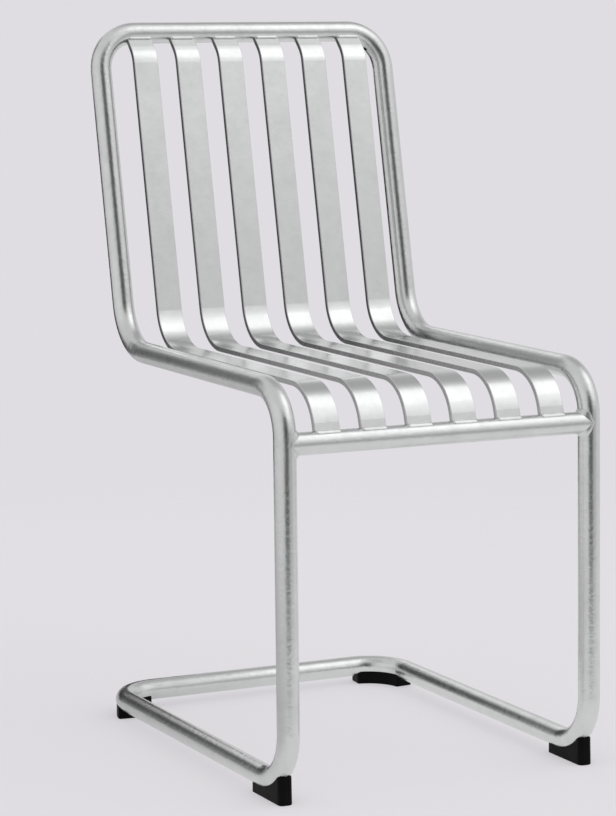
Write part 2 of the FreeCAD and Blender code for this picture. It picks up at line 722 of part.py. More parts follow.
def draw_band(sketch, centre, side, inner, outer, sweep):
    """Part of a flat ring between two lines through its centre, even about the bend's bisector."""
    start = (90 - sweep) / 2
    far = trig("cos", start)
    near = trig("sin", start)
    arcs = []
    ends = []
    for radius in (inner, outer):
        bar_end = (centre[0] + side * (radius * near), centre[1] + radius * far)
        runner_end = (centre[0] + side * (radius * far), centre[1] + radius * near)
        crown = point_of(centre) + Vector(side, 1, 0) * (radius.value * DIAGONAL)
        arc = sketch.addGeometry(Part.Arc(point_of(bar_end), crown, point_of(runner_end)))
        constrain(sketch, "Radius", arc, size=radius)
        arcs.append(arc)
        ends.append((bar_end, runner_end))
    inner_arc, outer_arc = arcs
    locate(sketch, inner_arc, 3, centre)
    sketch.addConstraint(Sketcher.Constraint("Coincident", inner_arc, 3, outer_arc, 3))
    for number, kind in enumerate(("DistanceX", "DistanceY")):
        inner_end, outer_end = ends[0][number], ends[1][number]
        inner_point = arc_end(sketch, inner_arc, point_of(inner_end))
        outer_point = arc_end(sketch, outer_arc, point_of(outer_end))
        line = sketch.addGeometry(Part.LineSegment(point_of(inner_end), point_of(outer_end)))
        sketch.addConstraint(Sketcher.Constraint("Coincident", line, 1, inner_arc, inner_point))
        sketch.addConstraint(Sketcher.Constraint("Coincident", line, 2, outer_arc, outer_point))
        sketch.addConstraint(Sketcher.Constraint("PointOnObject", inner_arc, 3, line))
        constrain(sketch, kind, -1, 1, line, 2, size=outer_end[number])


def make_rear_foot(name, side):
    """A curved pad that follows the bend between a runner and the rear bar."""
    label = f"rear_{name}_foot"
    body = new_body(label)
    x = side_x(side)
    radius = dim.rear_corner_radius
    centre = (x - side * radius, rear_bar_y - radius)
    half_width = dim.rear_foot_width / 2
    outline = add_sketch(body, f"{label}_outline", "XY_Plane")
    draw_band(outline, centre, side, radius - half_width, radius + half_width, dim.rear_foot_sweep)
    block = body.newObject("PartDesign::Pad", f"{label}_block")
    block.Profile = outline
    bind(block, "Length", runner_height)
    round_foot(body, label, block, lambda edge: True)

    line = add_sketch(body, f"{label}_tube_line", "XY_Plane", (ZERO, ZERO, runner_height))
    line_start = centre[0] - side * dim.tube_diameter
    line_end = centre[1] - dim.tube_diameter
    draw_path(line, [(line_start, rear_bar_y), (x, rear_bar_y), (x, line_end)], [None, radius, None])
    circle = add_sketch(body, f"{label}_tube", "YZ_Plane", (ZERO, ZERO, line_start))
    draw_circle(circle, rear_bar_y, runner_height, tube_radius + dim.foot_clearance)
    add_pipe(body, f"{label}_saddle", "SubtractivePipe", circle, line)
    doc.recompute()
    add_screw_seat(body, label, screw_places(side)[1])
    return body


def make_screw(label, place):
    """A round-headed screw, head down, with a slot across its head."""
    x, y = place
    head_radius = dim.screw_head_diameter / 2
    seat_z = dim.screw_recess + dim.screw_head_height
    head_size = {"Radius": head_radius, "Height": dim.screw_head_height}
    head = add_primitive("Cylinder", f"{label}_head", head_size, (x, y - middle_y, dim.screw_recess))
    shank_size = {"Radius": dim.screw_diameter / 2, "Height": dim.screw_length}
    shank = add_primitive("Cylinder", f"{label}_shank", shank_size, (x, y - middle_y, seat_z))
    whole = doc.addObject("Part::Fuse", f"{label}_whole")
    whole.Base = head
    whole.Tool = shank
    slot_size = {"Length": dim.screw_head_diameter, "Width": dim.screw_slot, "Height": dim.screw_slot}
    slot_place = (x - head_radius, y - middle_y - dim.screw_slot / 2, dim.screw_recess)
    slot = add_primitive("Box", f"{label}_slot", slot_size, slot_place)
    return cut_by(label, whole, [slot])


def make_chair():
    """All pieces of the chair, each a document object whose label names its file."""
    pieces = [make_frame_half(f"{name}_frame_tube", side) for name, side in SIDES.items()]
    pieces += make_joint("top", rail_y, dim.rail_height)
    pieces += make_joint("rear", rear_bar_y, runner_height)
    pieces.append(make_crossbar())
    pieces += [make_crossbar_weld(name, side) for name, side in SIDES.items()]
    slats = [make_slat(number) for number in range(1, SLAT_COUNT + 1)]
    pieces += slats
    pieces += make_slat_welds(slats)
    screws = []
    for name, side in SIDES.items():
        pieces.append(make_front_foot(name, side))
        pieces.append(make_rear_foot(name, side))
        screws += [make_screw(f"{name}_screw_{row}", place) for row, place in enumerate(screw_places(side))]
    pieces.append(group("foot_screws", screws))
    return pieces


def check(pieces):
    """Stops if any object failed or any piece is empty, broken or not the solids it should be."""
    for thing in doc.Objects:
        if {"Invalid", "Error"} & set(thing.State):
            raise RuntimeError(f"{thing.Label} failed: {thing.State}")
        if thing.isDerivedFrom("Sketcher::SketchObject") and not thing.FullyConstrained:
            raise RuntimeError(f"{thing.Label} is not fully constrained")
    solids = {"slat_top_welds": SLAT_COUNT, "slat_front_welds": SLAT_COUNT, "foot_screws": 2 * len(SIDES)}
    for piece in pieces:
        shape = piece.Shape
        if shape.isNull() or not shape.isValid():
            raise RuntimeError(f"{piece.Label} has no valid shape")
        if len(shape.Solids) != solids.get(piece.Label, 1):
            raise RuntimeError(f"{piece.Label} has {len(shape.Solids)} solids")


chair = make_chair()
doc.recompute()
check(chair)
os.makedirs("parts", exist_ok=True)
for piece in chair:
    piece.Shape.exportStep(f"parts/{piece.Label}.step")
    print(f"{piece.Label}: {piece.Shape.Volume:.0f} mm3")
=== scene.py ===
import math

import bpy
from bpy.props import FloatProperty, FloatVectorProperty, PointerProperty
from mathutils import Matrix, Vector


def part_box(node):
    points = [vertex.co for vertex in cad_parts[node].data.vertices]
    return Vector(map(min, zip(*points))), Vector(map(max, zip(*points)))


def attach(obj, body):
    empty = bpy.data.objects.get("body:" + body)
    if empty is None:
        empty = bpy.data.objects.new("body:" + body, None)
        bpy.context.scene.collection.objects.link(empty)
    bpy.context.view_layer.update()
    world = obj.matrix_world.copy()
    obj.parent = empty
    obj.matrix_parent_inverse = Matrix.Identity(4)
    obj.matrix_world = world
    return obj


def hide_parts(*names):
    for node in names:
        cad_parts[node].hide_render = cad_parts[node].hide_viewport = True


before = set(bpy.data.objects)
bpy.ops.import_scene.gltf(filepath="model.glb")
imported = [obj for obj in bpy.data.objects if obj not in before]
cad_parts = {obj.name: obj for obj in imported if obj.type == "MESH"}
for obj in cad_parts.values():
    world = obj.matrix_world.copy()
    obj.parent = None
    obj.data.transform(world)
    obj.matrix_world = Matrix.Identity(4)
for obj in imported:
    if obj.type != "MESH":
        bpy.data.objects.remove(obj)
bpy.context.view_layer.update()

bl_info = {
    "name": "Steel Garden Chair",
    "version": (1, 0, 0),
    "blender": (4, 5, 0),
    "location": "View3D > Sidebar > Garden Chair",
    "description": "Finishes a cantilever garden chair of galvanised tube and flat bar, and its studio",
    "category": "Object",
}

BODY = "root"
SLATS = [f"slat_{number}" for number in range(1, 7)]
TUBES = (
    "left_frame_tube", "right_frame_tube", "front_crossbar",
    "top_seam_weld", "rear_seam_weld", "top_joint_sleeve", "rear_joint_sleeve",
)
FEET = ("front_left_foot", "front_right_foot", "rear_left_foot", "rear_right_foot")
SIDES = {"left": -1, "right": 1}
TUBE_RADIUS = 0.0125
LEG_LEAN = math.radians(1.68)

# Places of the beads across the slat ends, from the axis of the tube that each lies on: back and up.
RAIL_BEAD = (-0.01020, -0.00520)
CROSSBAR_BEAD = (-0.00480, 0.01140)
BEAD_LEAN = math.radians(45)

# Divisions of a slat bead: round it, over each rounded end and along it.
BEAD_SIDES = 20
BEAD_END_STEPS = 5
BEAD_LENGTHS = 14
# The ends are rounded by this share of the bead's radius.
BEAD_END_ROUNDING = 0.8

# Divisions of a crossbar weld: round the bar, across its face and back through the metal.
WELD_TURNS = 120
WELD_FACE_STEPS = 14
WELD_ROOT_STEPS = 6
# How far its edges lie under the skin of the tubes.
WELD_SINK = 0.0002
# How much less it reaches along bar and leg at front and back, and how much further along the leg in between.
BAR_REACH_LOSS = 0.35
LEG_REACH_LOSS = 0.4
LEG_REACH_SPREAD = 0.9
# How hollow its face is above and below the bar, and how full its crown is.
FACE_HOLLOW = 0.5
CROWN_FULLNESS = 1.6
# Size of the swells that make all welds uneven.
SWELL_SIZE = 0.006

# Where the cut edges of the slats turn from a painted reflection at the front to painted shade at the back.
EDGE_SHADE_FADE = (0.02, 0.24)

# Dark gaps between the studio's walls: depth, then azimuth and elevation, in degrees, of the middle,
# of the half width of the darkest part, and of the half width where the gap has faded out.
DARK_GAPS = (
    (0.87, (-10, 7), (10, 20), (34, 44)),
    (0.78, (-157, 13), (7, 13), (18, 31)),
    (0.32, (24, -3), (12, 5), (42, 17)),
)
# Round patches of the walls: strength, azimuth and elevation of the middle, full and faded radius in degrees.
DARK_PATCHES = (
    (0.32, (136, 52), 10, 38),
)
BRIGHT_PATCHES = (
    (0.47, (57, 49), 14, 44),
    (0.5, (169, 25), 4, 17),
    (0.14, (-82, 12), 10, 48),
)
LAMP_TARGET = Vector((0, 0, 0.5))


class ChairWelds(bpy.types.PropertyGroup):
    """Sizes of the weld beads"""

    bead_radius: FloatProperty(
        name="Slat bead", description="Radius of the bead across each slat end",
        unit="LENGTH", min=0.0005, default=0.0034)
    bead_flatness: FloatProperty(
        name="Slat bead flatness", description="Thickness of the bead as a share of its width",
        subtype="FACTOR", min=0.1, max=1, default=0.55)
    bead_length: FloatProperty(
        name="Slat bead length", description="Length of the bead across each slat end",
        unit="LENGTH", min=0.005, default=0.0305)
    fillet: FloatProperty(
        name="Crossbar fillet", description="Leg of the dressed fillet round each crossbar end",
        unit="LENGTH", min=0.0005, default=0.0033)
    fillet_crown: FloatProperty(
        name="Crossbar crown", description="How far the fillet stands proud of the tubes at front and back",
        unit="LENGTH", min=0, default=0.0010)
    fillet_rounding: FloatProperty(
        name="Crossbar rounding", description="How far the fillet stays short of the leg's front and back",
        unit="LENGTH", min=0, default=0.0020)
    unevenness: FloatProperty(
        name="Unevenness", description="How far the beads swell and shrink",
        unit="LENGTH", min=0, default=0.0005)


class ChairFinish(bpy.types.PropertyGroup):
    """Colours and textures of the chair's finishes"""

    zinc_colour: FloatVectorProperty(
        name="Zinc", description="Colour of the zinc on tubes, slats and welds",
        subtype="COLOR", size=3, min=0, max=1, default=(0.77, 0.775, 0.775))
    zinc_shade: FloatVectorProperty(
        name="Zinc shade", description="Colour of the duller patches of the zinc",
        subtype="COLOR", size=3, min=0, max=1, default=(0.70, 0.708, 0.706))
    # Painted shade: the cut edges are coloured darker than the zinc, for the dark surroundings that they
    # mirror.
    edge_shade_colour: FloatVectorProperty(
        name="Cut edges", description="Colour of the zinc on the cut edges of the slats",
        subtype="COLOR", size=3, min=0, max=1, default=(0.24, 0.25, 0.25))
    # Painted reflection: the cut edges at the front bends are coloured lighter, for the light from the left
    # front that they mirror.
    front_edge_reflection_colour: FloatVectorProperty(
        name="Front edges", description="Colour of the zinc on the cut edges at the front bends",
        subtype="COLOR", size=3, min=0, max=1, default=(0.70, 0.70, 0.70))
    tube_roughness: FloatProperty(
        name="Tube roughness", description="Roughness of the zinc on the tubes",
        subtype="FACTOR", min=0, max=1, default=0.22)
    slat_roughness: FloatProperty(
        name="Slat roughness", description="Roughness of the zinc on the slats",
        subtype="FACTOR", min=0, max=1, default=0.19)
    weld_roughness: FloatProperty(
        name="Weld roughness", description="Roughness of the zinc on the welds",
        subtype="FACTOR", min=0, max=1, default=0.34)
    tube_relief: FloatProperty(
        name="Tube relief", description="How uneven the skin of the zinc is on the tubes",
        subtype="FACTOR", min=0, max=1, default=0.38)
    slat_relief: FloatProperty(
        name="Slat relief", description="How uneven the skin of the zinc is on the slats",
        subtype="FACTOR", min=0, max=1, default=0.09)
    weld_relief: FloatProperty(
        name="Weld relief", description="How uneven the skin of the zinc is on the welds",
        subtype="FACTOR", min=0, max=1, default=0.2)
    slat_cloudiness: FloatProperty(
        name="Slat cloudiness", description="How strongly the zinc varies on the slats",
        subtype="FACTOR", min=0, max=1, default=0.85)
    plastic_colour: FloatVectorProperty(
        name="Plastic", description="Colour of the moulded feet",
        subtype="COLOR", size=3, min=0, max=1, default=(0.004, 0.004, 0.0042))
    plastic_roughness: FloatProperty(
        name="Plastic roughness", description="Roughness of the moulded feet",
        subtype="FACTOR", min=0, max=1, default=0.45)
    screw_colour: FloatVectorProperty(
        name="Screws", description="Colour of the plated screws under the feet",
        subtype="COLOR", size=3, min=0, max=1, default=(0.62, 0.62, 0.63))


class ChairStage(bpy.types.PropertyGroup):
    """The studio round the chair"""

    background: FloatVectorProperty(
        name="Background", description="Colour of the studio behind the chair",
        subtype="COLOR", size=3, min=0, max=1, default=(0.745, 0.723, 0.761))
    surround: FloatVectorProperty(
        name="Surround", description="Colour of the studio's walls, which light the chair",
        subtype="COLOR", size=3, min=0, max=1, default=(0.69, 0.69, 0.69))
    floor_colour: FloatVectorProperty(
        name="Floor", description="Colour of the floor",
        subtype="COLOR", size=3, min=0, max=1, default=(0.88, 0.86, 0.89))
    mirrored_floor: FloatVectorProperty(
        name="Mirrored floor", description="Colour of the floor as the zinc mirrors it",
        subtype="COLOR", size=3, min=0, max=1, default=(0.75, 0.75, 0.75))
    # Painted shadow: the mirrored floor is coloured darker to the rear left, where the chair's shadow falls.
    shaded_floor: FloatVectorProperty(
        name="Shaded floor", description="Colour of the floor to the rear left as the zinc mirrors it",
        subtype="COLOR", size=3, min=0, max=1, default=(0.47, 0.47, 0.47))
    shade_towards: FloatVectorProperty(
        name="Shade towards", description="Direction from the chair to the shaded part of the floor",
        subtype="DIRECTION", size=3, default=(-0.90, 0.43, 0.0))
    shade_reach: FloatProperty(
        name="Shade reach", description="How far from the chair's middle the floor is fully shaded",
        unit="LENGTH", min=0.01, default=0.42)
    mirrored_paper: FloatProperty(
        name="Mirrored paper", description="Brightness of the floor as the zinc mirrors it",
        subtype="FACTOR", min=0, max=2, default=1.08)
    mirrored_share: FloatProperty(
        name="Mirrored share", description="How much of the mirrored floor is free of the chair's shadow",
        subtype="FACTOR", min=0, max=1, default=0.8)
    floor_radius: FloatProperty(
        name="Floor radius", description="Where the floor has faded into the background",
        unit="LENGTH", min=1, default=2.2)
    floor_fade: FloatProperty(
        name="Floor fade", description="Share of the floor's radius where it begins to fade",
        subtype="FACTOR", min=0, max=1, default=0.4)
    shadow: FloatProperty(
        name="Shadow", description="How much of the chair's shadow the floor shows",
        subtype="FACTOR", min=0, max=1, default=0.55)
    paper: FloatProperty(
        name="Paper", description="Brightness of the floor where the chair throws no shadow",
        subtype="FACTOR", min=0, max=2, default=1.25)
    key_power: FloatProperty(
        name="Key light", description="Power of the soft box to the right of the chair",
        unit="POWER", min=0, default=1.75)
    key_size: FloatProperty(
        name="Key size", description="Side of the soft box", unit="LENGTH", min=0.1, default=1.25)
    key_place: FloatVectorProperty(
        name="Key place", description="Centre of the soft box",
        subtype="XYZ", unit="LENGTH", size=3, default=(1.15, -0.80, 2.40))
    fill_power: FloatProperty(
        name="Fill light", description="Power of the wide soft box in front of the chair",
        unit="POWER", min=0, default=2.4)
    fill_size: FloatProperty(
        name="Fill size", description="Width of the wide soft box", unit="LENGTH", min=0.1, default=3.0)
    fill_height: FloatProperty(
        name="Fill height", description="Height of the wide soft box", unit="LENGTH", min=0.1, default=1.8)
    fill_place: FloatVectorProperty(
        name="Fill place", description="Centre of the wide soft box",
        subtype="XYZ", unit="LENGTH", size=3, default=(1.9, -3.29, 3.0))
    screen_place: FloatVectorProperty(
        name="Screen place", description="Middle of the dark screen behind the chair, from above",
        unit="LENGTH", size=2, default=(-0.18, 1.3))
    screen_width: FloatProperty(
        name="Screen width", description="Width of the dark screen behind the chair",
        unit="LENGTH", min=0.1, default=1.16)
    screen_height: FloatVectorProperty(
        name="Screen height", description="Lower and upper edge of the dark screen behind the chair",
        unit="LENGTH", size=2, default=(0.10, 0.70))
    camera_place: FloatVectorProperty(
        name="Camera place", description="Where the camera stands",
        subtype="XYZ", unit="LENGTH", size=3, default=(-1.593017, -3.074651, 0.887999))
    camera_azimuth: FloatProperty(
        name="Camera azimuth", description="Turn of the camera round the chair, from straight in front",
        subtype="ANGLE", default=math.radians(-26.832))
    camera_elevation: FloatProperty(
        name="Camera elevation", description="How far the camera looks down",
        subtype="ANGLE", default=math.radians(8.170))
    camera_roll: FloatProperty(
        name="Camera roll", description="Turn of the camera about its own line of sight",
        subtype="ANGLE", default=math.radians(0.096))
    lens: FloatProperty(
        name="Lens", description="Focal length in millimetres on a 36 mm sensor",
        min=1, default=132.198)


class GardenChair(bpy.types.PropertyGroup):
    """Settings of the garden chair"""

    welds: PointerProperty(type=ChairWelds)
    finish: PointerProperty(type=ChairFinish)
    stage: PointerProperty(type=ChairStage)


def add_node(tree, kind, inputs=None, **settings):
    """A node with its settings made and each input set to a value or linked to a socket."""
    node = tree.nodes.new(kind)
    for key, value in settings.items():
        setattr(node, key, value)
    for key, value in (inputs or {}).items():
        if isinstance(value, bpy.types.NodeSocket):
            tree.links.new(value, node.inputs[key])
        else:
            node.inputs[key].default_value = value
    return node


def math_node(tree, operation, *values):
    """The result of one sum on values or sockets."""
    node = add_node(tree, "ShaderNodeMath", dict(enumerate(values)), operation=operation)
    return node.outputs[0]


def part_of(tree, vector, axis):
    """One part of a vector: 0 from left to right, 1 from front to back, 2 upwards."""
    return add_node(tree, "ShaderNodeSeparateXYZ", {0: vector}).outputs[axis]


def opaque(colour):
    """A colour with its alpha."""
    return (*colour, 1.0)


def new_material(name):
    """A material with an empty tree, its shader and its object coordinates."""
    material = bpy.data.materials.new(name)
    material.use_nodes = True
    tree = material.node_tree
    tree.nodes.clear()
    shader = add_node(tree, "ShaderNodeBsdfPrincipled")
    output = add_node(tree, "ShaderNodeOutputMaterial")
    tree.links.new(shader.outputs[0], output.inputs["Surface"])
    place = add_node(tree, "ShaderNodeTexCoord").outputs["Object"]
    return material, tree, shader, place


def noise(tree, place, scale, detail=2.0, roughness=0.5):
    """A cloudy pattern with a number of repeats to the metre."""
    inputs = {"Vector": place, "Scale": scale, "Detail": detail, "Roughness": roughness}
    return add_node(tree, "ShaderNodeTexNoise", inputs).outputs["Fac"]


def ranged(tree, value, low, high, to_low, to_high, smooth=False):
    """A value moved from one range to another and kept inside it."""
    inputs = {0: value, 1: low, 2: high, 3: to_low, 4: to_high}
    kind = "SMOOTHSTEP" if smooth else "LINEAR"
    return add_node(tree, "ShaderNodeMapRange", inputs, interpolation_type=kind, clamp=True).outputs[0]


def mixed(tree, factor, first, second):
    """A colour between two colours, whose sockets follow the mix node's sockets for numbers and vectors."""
    return add_node(tree, "ShaderNodeMix", {0: factor, 6: first, 7: second}, data_type="RGBA").outputs[2]


def zinc(name, finish, roughness, relief, cloudiness=1.0, dull_and_shaded_edges=False):
    """Hot-dip zinc: a bright grey with dull clouds, faint crystals and an uneven skin.

    The cut edges of flat bar, which face left and right, are duller; their colour is painted shade, dark
    towards the back, turning to a lighter painted reflection towards the front bends.
    """
    material, tree, shader, place = new_material(name)
    clouds = noise(tree, place, scale=30.0, detail=3.0)
    mottle = noise(tree, place, scale=190.0, detail=4.0, roughness=0.6)
    grain = noise(tree, place, scale=1300.0)
    crystals = add_node(tree, "ShaderNodeTexVoronoi", {"Vector": place, "Scale": 130.0}, feature="SMOOTH_F1")
    crystal = add_node(tree, "ShaderNodeSeparateColor", {0: crystals.outputs["Color"]}).outputs[0]
    dull = math_node(tree, "MULTIPLY_ADD", clouds, 0.6, math_node(tree, "MULTIPLY", crystal, 0.2))
    dull = math_node(tree, "MULTIPLY_ADD", mottle, 0.2, dull)
    dull = ranged(tree, dull, 0.3, 0.7, 0.5 - cloudiness / 2, 0.5 + cloudiness / 2)
    colour = mixed(tree, dull, opaque(finish.zinc_colour), opaque(finish.zinc_shade))
    rough = ranged(tree, dull, 0.0, 1.0, roughness - 0.03, roughness + 0.05)
    if dull_and_shaded_edges:
        # Painted shade and reflection on the cut edges: dark towards the back, lighter at the front bends;
        # only the added roughness is the zinc's own.
        facing = add_node(tree, "ShaderNodeNewGeometry").outputs["Normal"]
        sideways = math_node(tree, "ABSOLUTE", part_of(tree, facing, 0))
        edge = ranged(tree, sideways, 0.7, 0.9, 0.0, 1.0)
        edge_shade_share = ranged(tree, part_of(tree, place, 1), *EDGE_SHADE_FADE, 0.0, 1.0)
        cut = mixed(tree, edge_shade_share, opaque(finish.front_edge_reflection_colour), opaque(finish.edge_shade_colour))
        colour = mixed(tree, edge, colour, cut)
        rough = math_node(tree, "MULTIPLY_ADD", edge, 0.08, rough)
    tree.links.new(colour, shader.inputs["Base Color"])
    shader.inputs["Metallic"].default_value = 1.0
    tree.links.new(rough, shader.inputs["Roughness"])
    skin = math_node(tree, "MULTIPLY_ADD", mottle, 0.8, math_node(tree, "MULTIPLY", grain, 0.2))
    bump = add_node(tree, "ShaderNodeBump", {"Strength": relief, "Distance": 0.001, "Height": skin})
    tree.links.new(bump.outputs[0], shader.inputs["Normal"])
    return material


def plastic(name, finish):
    """Black moulded plastic with a fine spark-eroded grain and faint scuffs."""
    material, tree, shader, place = new_material(name)
    grain = noise(tree, place, scale=1400.0)
    scuffs = noise(tree, place, scale=60.0, detail=4.0)
    shader.inputs["Specular IOR Level"].default_value = 0.06
    paler = [channel * 1.5 + 0.001 for channel in finish.plastic_colour]
    scuffed = ranged(tree, scuffs, 0.5, 0.75, 0.0, 1.0)
    colour = mixed(tree, scuffed, opaque(finish.plastic_colour), opaque(paler))
    tree.links.new(colour, shader.inputs["Base Color"])
    low = finish.plastic_roughness - 0.06
    rough = ranged(tree, scuffs, 0.3, 0.7, low, finish.plastic_roughness + 0.08)
    tree.links.new(rough, shader.inputs["Roughness"])
    bump = add_node(tree, "ShaderNodeBump", {"Strength": 0.15, "Distance": 0.0002, "Height": grain})
    tree.links.new(bump.outputs[0], shader.inputs["Normal"])
    return material


def plated(name, finish):
    """Plated screw steel with a fine grain."""
    material, tree, shader, place = new_material(name)
    grain = noise(tree, place, scale=900.0)
    paler = [min(1.0, channel * 1.15) for channel in finish.screw_colour]
    bright = ranged(tree, grain, 0.35, 0.65, 0.0, 1.0)
    colour = mixed(tree, bright, opaque(finish.screw_colour), opaque(paler))
    tree.links.new(colour, shader.inputs["Base Color"])
    tree.links.new(ranged(tree, grain, 0.3, 0.7, 0.28, 0.42), shader.inputs["Roughness"])
    shader.inputs["Metallic"].default_value = 1.0
    return material


def dress(material, *nodes):
    """Gives CAD nodes a material."""
    for node in nodes:
        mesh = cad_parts[node].data
        mesh.materials.clear()
        mesh.materials.append(material)


def middle_of(node):
    """The middle of a node's box."""
    low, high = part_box(node)
    return (Vector(low) + Vector(high)) / 2


def start_mesh(name):
    """Names the primitive that was just added and puts its place into its mesh."""
    piece = bpy.context.object
    piece.name = name
    piece.data.name = name
    bpy.ops.object.transform_apply(location=True, rotation=True, scale=True)
    return piece


def finish_weld(piece, welds, material, *nodes):
    """Makes a bead uneven, smooths its shading, and puts it in the place of the nodes that it stands for."""
    bpy.ops.object.select_all(action="DESELECT")
    piece.select_set(True)
    bpy.context.view_layer.objects.active = piece
    swell = bpy.data.textures.new(f"{piece.name}_swell", "CLOUDS")
    swell.noise_scale = SWELL_SIZE
    uneven = piece.modifiers.new("uneven", "DISPLACE")
    uneven.texture = swell
    uneven.texture_coords = "GLOBAL"
    uneven.strength = welds.unevenness
    bpy.ops.object.modifier_apply(modifier=uneven.name)
    bpy.ops.object.shade_smooth()
    piece.data.materials.clear()
    piece.data.materials.append(material)
    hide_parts(*nodes)
    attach(piece, BODY)


def add_bead(name, welds, middle):
    """A bead from left to right: a flattened rod with rounded ends, divided along its length."""
    bpy.ops.object.select_all(action="DESELECT")
    bpy.ops.mesh.primitive_cylinder_add(
        vertices=BEAD_SIDES, radius=welds.bead_radius, depth=welds.bead_length, end_fill_type="NGON",
        location=middle, rotation=(0, math.pi / 2, 0))
    bead = start_mesh(name)
    bpy.ops.object.mode_set(mode="EDIT")
    bpy.ops.mesh.select_mode(type="EDGE")
    bpy.ops.mesh.select_all(action="DESELECT")
    bpy.ops.object.mode_set(mode="OBJECT")
    points = bead.data.vertices
    for edge in bead.data.edges:
        ends = [points[number].co.x for number in edge.vertices]
        edge.select = abs(ends[0] - ends[1]) < 1e-6
    bpy.ops.object.mode_set(mode="EDIT")
    rounding = BEAD_END_ROUNDING * welds.bead_radius
    bpy.ops.mesh.bevel(offset=rounding, segments=BEAD_END_STEPS, affect="EDGES")
    for cut in range(1, BEAD_LENGTHS):
        x = middle.x + welds.bead_length * (cut / BEAD_LENGTHS - 0.5)
        bpy.ops.mesh.select_all(action="SELECT")
        bpy.ops.mesh.bisect(plane_co=(x, 0, 0), plane_no=(1, 0, 0))
    bpy.ops.mesh.select_all(action="SELECT")
    bpy.ops.transform.resize(value=(1, welds.bead_flatness, 1), center_override=middle)
    bpy.ops.transform.rotate(value=BEAD_LEAN, orient_axis="X", center_override=middle)
    bpy.ops.object.mode_set(mode="OBJECT")
    return bead


def add_beads(name, welds, material, axis, offset):
    """The beads of all slats on one tube, joined into one piece."""
    first = middle_of(SLATS[0])
    beads = [add_bead(name, welds, Vector((first.x, axis.y + offset[0], axis.z + offset[1])))]
    for slat in SLATS[1:]:
        bead = beads[0].copy()
        bead.data = beads[0].data.copy()
        bpy.context.collection.objects.link(bead)
        bpy.ops.object.select_all(action="DESELECT")
        bead.select_set(True)
        bpy.context.view_layer.objects.active = bead
        bpy.ops.object.mode_set(mode="EDIT")
        bpy.ops.mesh.select_all(action="SELECT")
        bpy.ops.transform.translate(value=(middle_of(slat).x - first.x, 0, 0))
        bpy.ops.object.mode_set(mode="OBJECT")
        beads.append(bead)
    bpy.ops.object.select_all(action="DESELECT")
    for bead in beads:
        bead.select_set(True)
    bpy.context.view_layer.objects.active = beads[0]
    bpy.ops.object.join()
    finish_weld(beads[0], welds, material, name.replace("beads", "welds"))


def saddle_point(axis, leg_x, side, rounding, angle):
    """A point of the line where a crossbar end meets its leg, at an angle round the bar."""
    out = Vector((math.cos(angle), math.sin(angle))) * TUBE_RADIUS
    aside = out.x - out.y * math.tan(LEG_LEAN)
    gap = math.sqrt(max(0.0, TUBE_RADIUS ** 2 - aside ** 2) + rounding ** 2)
    return Vector((leg_x - side * gap, axis.y + out.x, axis.z + out.y))


def between(start, corner, end, share):
    """A point of the arch from start to end that leans towards the corner."""
    return start * (1 - share) ** 2 + corner * (2 * share * (1 - share)) + end * share ** 2


def from_leg(axis, leg_x, point):
    """The level way from the leg's axis to a point."""
    leg_y = axis.y + (point.z - axis.z) * math.tan(LEG_LEAN)
    return Vector((point.x - leg_x, point.y - leg_y, 0))


def under_skin(point, way):
    """A point moved along its way from a tube's axis until it lies just under the tube's skin."""
    return point - way + way.normalized() * (TUBE_RADIUS - WELD_SINK)


def weld_section(axis, leg_x, side, welds, angle):
    """The fillet at an angle round the bar.

    Gives its edge on the bar, its corner, its edge on the leg, the way out of it,
    and how far it faces front or back.
    """
    corner = saddle_point(axis, leg_x, side, welds.fillet_rounding, angle)
    ahead = saddle_point(axis, leg_x, side, welds.fillet_rounding, angle + 0.01) - corner
    off_bar = Vector((0, math.cos(angle), math.sin(angle)))
    off_leg = from_leg(axis, leg_x, corner).normalized()
    along_bar = off_bar.cross(ahead).normalized()
    along_bar *= math.copysign(1, -side * along_bar.x)
    along_leg = off_leg.cross(ahead).normalized()
    along_leg *= math.copysign(1, side * along_leg.x + along_leg.dot(off_bar))
    facing = off_bar.y ** 2
    aslant = 4 * facing * (1 - facing)
    on_bar = corner + along_bar * welds.fillet * (1 - BAR_REACH_LOSS * facing)
    on_bar = under_skin(on_bar, Vector((0, on_bar.y - axis.y, on_bar.z - axis.z)))
    on_leg = corner + along_leg * welds.fillet * (1 - LEG_REACH_LOSS * facing + LEG_REACH_SPREAD * aslant)
    on_leg = under_skin(on_leg, from_leg(axis, leg_x, on_leg))
    return on_bar, corner, on_leg, (off_bar + off_leg).normalized(), facing


def weld_point(section, welds, step):
    """A point of the fillet's outline, which runs across its face to the leg and back through the metal."""
    on_bar, corner, on_leg, outwards, facing = section
    if step > WELD_FACE_STEPS:
        share = (step - WELD_FACE_STEPS) / WELD_ROOT_STEPS
        return between(on_leg, corner - outwards * welds.fillet / 2, on_bar, share)
    share = step / WELD_FACE_STEPS
    chord = on_bar.lerp(on_leg, share)
    arch = between(on_bar, corner, on_leg, share)
    crown = outwards * (CROWN_FULLNESS * share * (1 - share) * welds.fillet_crown)
    return chord.lerp(arch, FACE_HOLLOW * (1 - facing) ** 3) + crown


